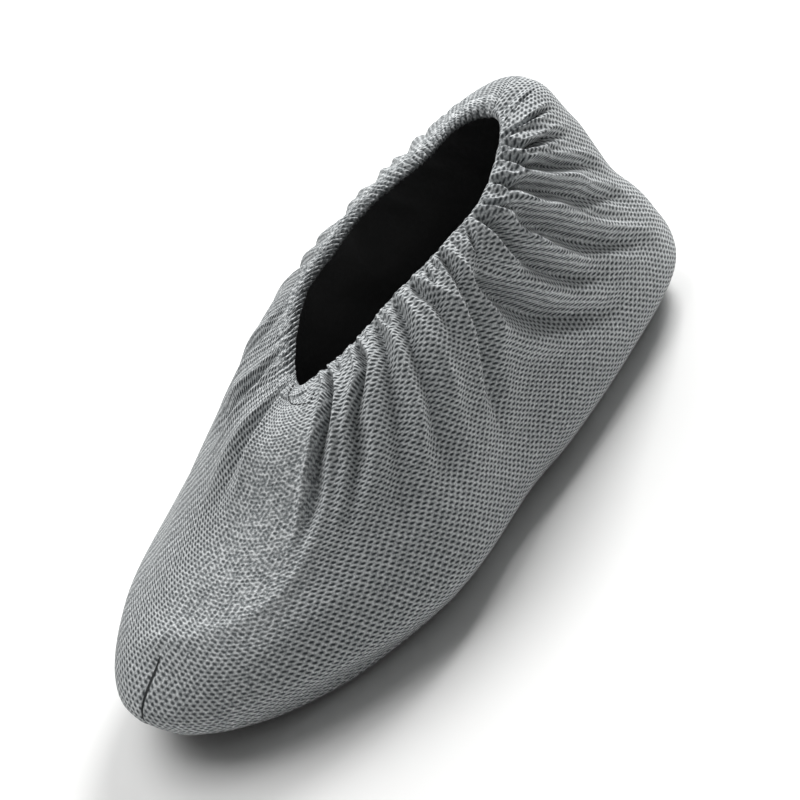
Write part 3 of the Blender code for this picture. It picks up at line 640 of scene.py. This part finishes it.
# the profile's distance from the rim sets the climb and its height the lift; |sin| crimps in chevrons like
# a cord's are added to the lift, and low lobes along the edge
def hemPoints(turn, fromRim, height):
    climb = 1.0 - fromRim[:, None] / climbLength(turn)
    along = np.interp(np.mod(turn, 2.0), arcTurns, rimArc)
    stray = sum(size * np.sin(along / length + start) for size, length, start in hem["strays"])
    share = np.linspace(0.0, 1.0, len(fromRim))[:, None]
    size = hem["crimpRight"] + (hem["crimpLeft"] - hem["crimpRight"]) * leftShare(turn)
    size = size * ease((share - hem["crimpFrom"]) / (hem["crimpFull"] - hem["crimpFrom"]))
    slide = hem["crimpSlant"] * np.abs(share - hem["crimpPeak"]) + hem["crimpStray"] * stray
    lips = np.abs(np.sin(np.pi * along / hem["crimpPitch"] + slide)) ** hem["crimpPower"]
    crimps = size * (lips - hem["crimpMiddle"])
    # painted shade in the gaps between crimps, darker where the crimps are larger
    dark = hem["crimpShade"] * size / hem["crimpRight"] * (1.0 - lips) ** hem["shadePower"]
    dark = np.clip(dark, 0.0, gathers["mostShade"])
    outer = np.arange(len(fromRim)) < np.argmin(fromRim)
    sunk = hem["leftSink"] * outer * ease((fromRim - hem["sinkFrom"]) / hem["sinkOver"])
    over = height[:, None] + crimps - sunk[:, None] * leftShare(turn)
    lobes = np.abs(np.sin(np.pi * along / hem["lobePitch"] + hem["lobeStray"] * stray))
    lobes = hem["lobeHeight"] * (lobes - hem["lobeMiddle"])
    outward = lobes * np.exp(-(fromRim / hem["lobeReach"]) ** 2)[:, None]
    edge = clothPoints(turn, np.array([[hem["edgeClimb"]], [1.0]]) + np.zeros(len(turn)))
    rimway = (edge[1] - edge[0]) / np.linalg.norm(edge[1] - edge[0], axis=-1, keepdims=True)
    return clothPoints(turn, climb, over) + outward[..., None] * rimway, climb, dark


tabEnd = gathers["tabHalfTurn"]
hemFrom, hemHeight = smoothProfile(hem["profile"], hem["profileSteps"])
rimTwice = np.concatenate([rimArc, rimArc[1:] + rimArc[-1]])
turnTwice = np.concatenate([arcTurns, arcTurns[1:] + 2.0])
hemEnds = np.interp([1.0 + tabEnd - hem["gap"], 3.0 - tabEnd + hem["gap"]], turnTwice, rimTwice)
hemTurns = np.interp(np.linspace(*hemEnds, hem["columns"]), rimTwice, turnTwice)
hemGrid, hemClimb, hemPaintedShade = hemPoints(hemTurns, hemFrom, hemHeight)
# the hem's crease share is painted shade of its crimp gaps, gathers and deep folds
hemCloth = addPiece("hemCloth", hemGrid.reshape(-1, 3), gridFaces(hem["profileSteps"], hem["columns"], False),
                    meshMaterial, rolledPlaces(np.mod(hemTurns, 2.0), hemClimb, hemFrom),
                    {"pebbled": 1.0 - hem["leftSmooth"] * leftShare(hemTurns) + np.zeros(hemClimb.shape),
                     "paintedCreaseShade": np.maximum(hemPaintedShade, paintedShadeShare(hemTurns, hemClimb))})
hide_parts("elastic_casing")

# Tab: a flat double patch at the front of the rim, without gathers, whose ends sink into the hem.
tab = {
    "columns": 90, "rows": 60, "overhang": 0.012,
    "profile": ((9.6, -0.35), (9.2, 0.3), (8.6, 0.75), (6.0, 0.95), (3.0, 0.85), (1.5, 0.4), (0.5, -0.4),
                (0.1, -1.3), (0.3, -2.1), (1.2, -2.7), (2.2, -2.85), (3.4, -2.7), (4.4, -2.35),
                (5.0, -1.7)),  # mm from the rim along the skin, mm over the skin
    "endFade": 0.1, "sink": 0.0012, "pebbled": 0.5,
}
tabFrom, tabHeight = smoothProfile(tab["profile"], tab["rows"])
tabTurns = np.linspace(1.0 - tabEnd - tab["overhang"], 1.0 + tabEnd + tab["overhang"], tab["columns"])
tabAcross = np.abs(np.linspace(-1.0, 1.0, tab["columns"]))
tabSink = -tab["sink"] * ease((tabAcross - 1.0 + tab["endFade"]) / tab["endFade"]) ** 2
tabClimb = 1.0 - tabFrom[:, None] / climbLength(tabTurns)
tabGrid = clothPoints(tabTurns, tabClimb, tabHeight[:, None] + tabSink, 0.0)
tabCloth = addPiece("tabCloth", tabGrid.reshape(-1, 3), gridFaces(tab["rows"], tab["columns"], False),
                    meshMaterial, rolledPlaces(tabTurns, tabClimb, tabFrom),
                    {"pebbled": np.full(tabClimb.shape, tab["pebbled"])})
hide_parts("casing_tab")

# Stitches: short threads that hold the tab's sewn end, dark matt polyester that reads as a broken line.
stitch = {"line": ((1.039, 2.8), (0.944, 12.0), (0.854, 18.0), (0.846, 13.0)),  # turn, mm from the rim
          "pitch": 0.0021, "length": 0.0017, "radius": 0.00026, "rise": 0.00012, "rings": 4, "sides": 6,
          "steps": 240, "colour": "#25282a"}


def alongLine(values, reach, at):  # each coordinate of a line, read at distances along it
    return np.stack([np.interp(at, reach, values[:, axis]) for axis in range(3)], axis=-1)


# the line goes straight from corner to corner in turns and distance, over tab and cloth; a thread's rings
# stand square to it, with radii of a half circle along its length
def stitchBeads():
    corners = np.array(stitch["line"])
    share = np.linspace(0.0, len(corners) - 1.0, stitch["steps"])
    turn, fromRim = (np.interp(share, np.arange(len(corners)), column) for column in corners.T)
    fromRim = 0.001 * fromRim
    outer = np.argmin(tabFrom)
    lift = np.maximum(np.interp(fromRim, tabFrom[outer::-1], tabHeight[outer::-1]), 0.0) + stitch["rise"]
    climb = (1.0 - fromRim / climbLength(turn))[None]
    line, out = clothPoints(turn, climb, lift)[0], smoothNormals(turn, climb)[0]
    reach = np.concatenate([[0.0], np.cumsum(np.linalg.norm(np.diff(line, axis=0), axis=-1))])
    share = np.linspace(-1.0, 1.0, stitch["rings"] + 2)
    at = np.arange(stitch["pitch"] / 2, reach[-1], stitch["pitch"])[:, None] + stitch["length"] / 2 * share
    middle, normal = alongLine(line, reach, at), alongLine(out, reach, at)
    onward = np.gradient(middle, axis=1)
    onward /= np.linalg.norm(onward, axis=-1, keepdims=True)
    angle = (2 * np.pi / stitch["sides"] * np.arange(stitch["sides"]))[:, None]
    radius = stitch["radius"] * np.sqrt(1.0 - share[1:-1] ** 2)[:, None, None]
    ring = np.cos(angle) * normal[:, 1:-1, None] - np.sin(angle) * np.cross(onward, normal)[:, 1:-1, None]
    ring = middle[:, 1:-1, None] + radius * ring
    beads = np.concatenate([ring.reshape(len(at), -1, 3), middle[:, :1], middle[:, -1:]], axis=1)
    return beads.reshape(-1, 3), beadFaces(stitch["rings"], stitch["sides"], len(at))


# dark thread for the tab's stitches, also used for the toe dart's painted shade strip
threadAndShadeMaterial = newMaterial("darkThreadAndDartShade", {
    "Base Color": toLinear(stitch["colour"]), "Roughness": 0.6, "Specular IOR Level": 0.3})[0]
tabStitches = addPiece("tabStitches", *stitchBeads(), threadAndShadeMaterial)


# base colour from dark to light along a pattern, which also stands up as low relief
def patternLook(tree, shader, pattern, look):
    dark, light = toLinear(look["dark"]), toLinear(look["colour"])
    shade = addNode(tree, "Mix", {0: pattern, 6: dark, 7: light}, data_type="RGBA")[2]
    tree.links.new(shade, shader.inputs["Base Color"])
    bump = addNode(tree, "Bump", {"Height": pattern, "Strength": look["bump"], "Distance": look["depth"]})[0]
    tree.links.new(bump, shader.inputs["Normal"])


# Lining: smooth black warp knit, drawn mid grey as painted light for the deep shade inside, where it still
# looks nearly black; a faint sheen shows its curve.
liningLookWithPaintedLight = {"colour": "#747475", "dark": "#626263", "fuzz": 900.0, "bump": 0.5, "depth": 0.0002}


def liningKnit(look):
    material, tree, shader = newMaterial("polyesterLiningKnit", {
        "Roughness": 0.72, "Specular IOR Level": 0.25, "Sheen Weight": 0.08, "Sheen Roughness": 0.4})
    place = addNode(tree, "TexCoord")["Object"]
    fuzz = addNode(tree, "TexNoise", {"Vector": place, "Scale": look["fuzz"], "Detail": 3.0})["Fac"]
    patternLook(tree, shader, fuzz, look)
    return material


lining = {"columns": 260, "rows": 60, "inset": 0.0018, "underHem": 0.003, "foot": 0.9}
liningTurns = np.interp(np.linspace(0.0, bulgeArc[-1], lining["columns"] + 1)[:-1], bulgeArc, arcTurns)
liningTop = 1.0 - lining["underHem"] / climbLength(liningTurns)
liningClimb = np.linspace(0.0, 1.0, lining["rows"])[:, None] * liningTop
liningClimb = np.concatenate([lining["foot"] * seamClimb(liningTurns)[None], liningClimb])
liningGrid = clothPoints(liningTurns, liningClimb, np.full(liningClimb.shape, -lining["inset"]), 0.0)
liningFaces = gridFaces(len(liningClimb), lining["columns"], True)
liningCloth = addPiece("liningCloth", liningGrid.reshape(-1, 3), liningFaces[:, ::-1], liningKnit(liningLookWithPaintedLight))

# Toe dart: the dark line of its seam in the groove, as painted shade: a dark strip in the thread's material
# that narrows to its top.
dart = {"rows": 60, "columns": 5, "width": 0.0008, "sunk": 0.0003, "top": 0.215,
        "narrowing": 0.85, "narrowPower": 1.5}


# across the strip go even distances from the toe line, up it even climbs; its lift undoes half of the groove
def dartShadeStrip():
    share = np.linspace(0.0, 1.0, dart["rows"])[:, None]
    climb = share * dart["top"] + np.zeros(dart["columns"])
    across = dart["width"] * np.linspace(-0.5, 0.5, dart["columns"])
    turn = np.interp(toeArc + across, bulgeArc, arcTurns)
    groove = toeSeam["grooveDepth"] * np.exp(-(across / toeSeam["grooveWidth"]) ** 2)
    points = clothPoints(turn, climb, groove - dart["sunk"] + np.zeros(climb.shape))
    middle = points[:, dart["columns"] // 2, None]
    kept = 1.0 - dart["narrowing"] * share ** dart["narrowPower"]
    return middle + (points - middle) * kept[..., None]


toeDartPaintedShade = addPiece("toeDartPaintedShade", dartShadeStrip().reshape(-1, 3), gridFaces(dart["rows"], dart["columns"], False),
                   threadAndShadeMaterial)

# Sole: black twill, dished up to the seam, with small glossy grip dots whose tips reach the floor.
soleLook = {"colour": "#17181a", "dark": "#0c0c0d", "ribMm": 1.1, "slant": 38.0, "bump": 0.7, "depth": 0.0003}


def gripTwill(look):
    material, tree, shader = newMaterial("blackGripTwill", {
        "Roughness": 0.62, "Specular IOR Level": 0.35, "Sheen Weight": 0.1, "Sheen Roughness": 0.4})
    place = addNode(tree, "TexCoord")["Object"]
    slant = (0.0, 0.0, np.radians(look["slant"]))
    turned = addNode(tree, "Mapping", {"Vector": place, "Rotation": slant})[0]
    scale = 1000.0 / look["ribMm"] / 20.0 * np.pi  # a wave, rib and groove, is pi / 10 long at scale 1
    ribs = addNode(tree, "TexWave", {"Vector": turned, "Scale": scale, "Distortion": 0.8, "Detail": 2.0},
                   wave_type="BANDS", bands_direction="X", wave_profile="SIN")["Fac"]
    patternLook(tree, shader, ribs, look)
    return material


sole = {"columns": 360, "rollRows": 10, "laneRows": 24, "cloth": 0.0013, "dotHeight": 0.0006}


# rows go from the seam down the roll to the floor, then each row closes in on the middle line
def solePoints(turn, under):
    share = np.linspace(0.0, 1.0, sole["rollRows"])[:, None]
    roll = seamClimb(turn) * (1.0 - share) - share
    rolled = smoothSkin(turn, roll) - under * smoothNormals(turn, roll)
    edge = rolled[-1]
    inward = np.linspace(1.0, 0.0, sole["laneRows"])[1:, None]
    x = edge[:, 0] + np.zeros_like(inward)
    lanes = np.stack([x, edge[:, 1] * inward, soleHeight(x) + under], axis=-1)
    return np.concatenate([rolled, lanes])


soleTurns = np.interp(np.linspace(0.0, bulgeArc[-1], sole["columns"] + 1)[:-1], bulgeArc, arcTurns)
soleOut = solePoints(soleTurns, sole["dotHeight"])
soleIn = solePoints(soleTurns, sole["dotHeight"] + sole["cloth"])
soleRows = np.concatenate([soleIn[::-1], soleOut])
soleCloth = addPiece("soleCloth", soleRows.reshape(-1, 3),
                     gridFaces(len(soleRows), sole["columns"], True)[:, ::-1], gripTwill(soleLook))
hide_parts("sole")

# Grip dots: glossy rubber beads half sunk in the sole, with their tips in the plane of its underside.
dots = {"across": 0.006, "along": 0.0032, "radius": 0.0009, "height": 0.0006, "rings": 3, "sides": 8,
        "margin": 0.0015, "colour": "#191a1b"}


# staggered rows over the tread; each bead is a flattened ball of a few rings between two poles
def dotBeads():
    tread = ringLines(np.linspace(1.0, 0.0, sole["columns"]))[0]
    rows, columns = int(form["length"] / dots["along"] / 2), int(form["ballWidth"] / dots["across"] / 2)
    row, column = np.mgrid[-rows:rows + 1, -columns:columns + 1]
    x, y = dots["along"] * row, dots["across"] * (column + 0.5 * (row % 2))
    half = np.interp(x, tread[:, 0], -tread[:, 1], left=0.0, right=0.0)
    inside = np.abs(y) < half - dots["margin"]
    centre = np.stack([x, y, soleHeight(x) + dots["height"]], axis=-1)[inside]
    polar = (np.pi * (np.arange(dots["rings"]) + 1) / (dots["rings"] + 1))[:, None]
    angle = 2 * np.pi * np.arange(dots["sides"]) / dots["sides"]
    ball = np.stack([np.sin(polar) * np.cos(angle), -np.sin(polar) * np.sin(angle),
                     -np.cos(polar) + np.zeros(dots["sides"])], axis=-1).reshape(-1, 3)
    ball = np.concatenate([ball, [(0.0, 0.0, -1.0), (0.0, 0.0, 1.0)]])
    ball = ball * (dots["radius"], dots["radius"], dots["height"])
    return (centre[:, None] + ball).reshape(-1, 3), beadFaces(dots["rings"], dots["sides"], len(centre))


dotMaterial = newMaterial("blackGripRubber", {
    "Base Color": toLinear(dots["colour"]), "Roughness": 0.25, "Coat Weight": 0.3, "Coat Roughness": 0.15})[0]
gripDots = addPiece("gripDots", *dotBeads(), dotMaterial)

# Camera at the photograph's angle to the cover, rolled as there.
view = {"azimuth": -42.0, "elevation": 34.8, "roll": -18.0, "distance": 0.982, "aim": (0.0, 0.0, 0.0425),
        "lens": 125.0, "sensor": 36.0}


def standing(right, up, back, place):  # matrix with these axes as its columns, at this place
    matrix = np.eye(4)
    matrix[:3] = np.stack([right, up, back, place], axis=1)
    return Matrix(matrix.tolist())


# back points from the aim to the camera; the roll turns the level and rising axes about it
def addCamera():
    a, e, r = (np.radians(view[key]) for key in ("azimuth", "elevation", "roll"))
    back = np.array([np.sin(a) * np.cos(e), -np.cos(a) * np.cos(e), np.sin(e)])
    level = np.cross((0.0, 0.0, 1.0), back)
    level /= np.linalg.norm(level)
    rise = np.cross(back, level)
    right = np.cos(r) * level + np.sin(r) * rise
    up = -np.sin(r) * level + np.cos(r) * rise
    place = np.array(view["aim"]) + view["distance"] * back
    data = bpy.data.cameras.new("studioCamera")
    data.sensor_width = view["sensor"]
    data.lens = view["lens"]
    camera = bpy.data.objects.new("studioCamera", data)
    camera.matrix_world = standing(right, up, back, place)
    bpy.context.scene.collection.objects.link(camera)
    bpy.context.scene.camera = camera


addCamera()

# Studio: matt pale board as floor, one large soft light above on the right, a smaller one behind the heel.
studio = {
    "floorHalf": 3.0, "floorColours": ("#f4f4f3", "#f7f7f6"), "floorDrift": 3.0, "sky": 0.15,
    "lights": (  # name, place, aim, size, watts
        ("rightPanel", (-0.1, 0.62, 1.22), (0.0, 0.0, 0.05), 1.3, 16.0),
        ("heelPanel", (1.0, 0.28, 0.8), (0.05, 0.0, 0.05), 0.5, 18.5),
    ),
}


def addStudio():
    material, tree, shader = newMaterial("paleFloorBoard", {"Roughness": 0.75, "Specular IOR Level": 0.2})
    place = addNode(tree, "TexCoord")["Object"]
    faint = addNode(tree, "TexNoise", {"Vector": place, "Scale": studio["floorDrift"]})["Fac"]
    first, second = (toLinear(code) for code in studio["floorColours"])
    shade = addNode(tree, "Mix", {0: faint, 6: first, 7: second}, data_type="RGBA")[2]
    tree.links.new(shade, shader.inputs["Base Color"])
    half = studio["floorHalf"]
    mesh = bpy.data.meshes.new("studioFloor")
    mesh.from_pydata([(-half, -half, 0.0), (half, -half, 0.0), (half, half, 0.0), (-half, half, 0.0)], [],
                     [(0, 1, 2, 3)])
    mesh.materials.append(material)
    floor = bpy.data.objects.new("studioFloor", mesh)
    bpy.context.scene.collection.objects.link(floor)
    for name, place, aim, size, watts in studio["lights"]:
        data = bpy.data.lights.new(name, "AREA")
        data.size = size
        data.energy = watts
        lamp = bpy.data.objects.new(name, data)
        back = np.array(place) - np.array(aim)
        back /= np.linalg.norm(back)
        right = np.cross((0.0, 0.0, 1.0), back)
        right /= np.linalg.norm(right)
        lamp.matrix_world = standing(right, np.cross(back, right), back, place)
        bpy.context.scene.collection.objects.link(lamp)
    world = bpy.data.worlds.new("studioSky")
    world.use_nodes = True
    glow = world.node_tree.nodes["Background"].inputs
    glow["Color"].default_value = (1.0, 1.0, 1.0, 1.0)
    glow["Strength"].default_value = studio["sky"]
    bpy.context.scene.world = world
    bpy.context.scene.view_settings.view_transform = "Standard"


addStudio()
print("camera and studio ready")
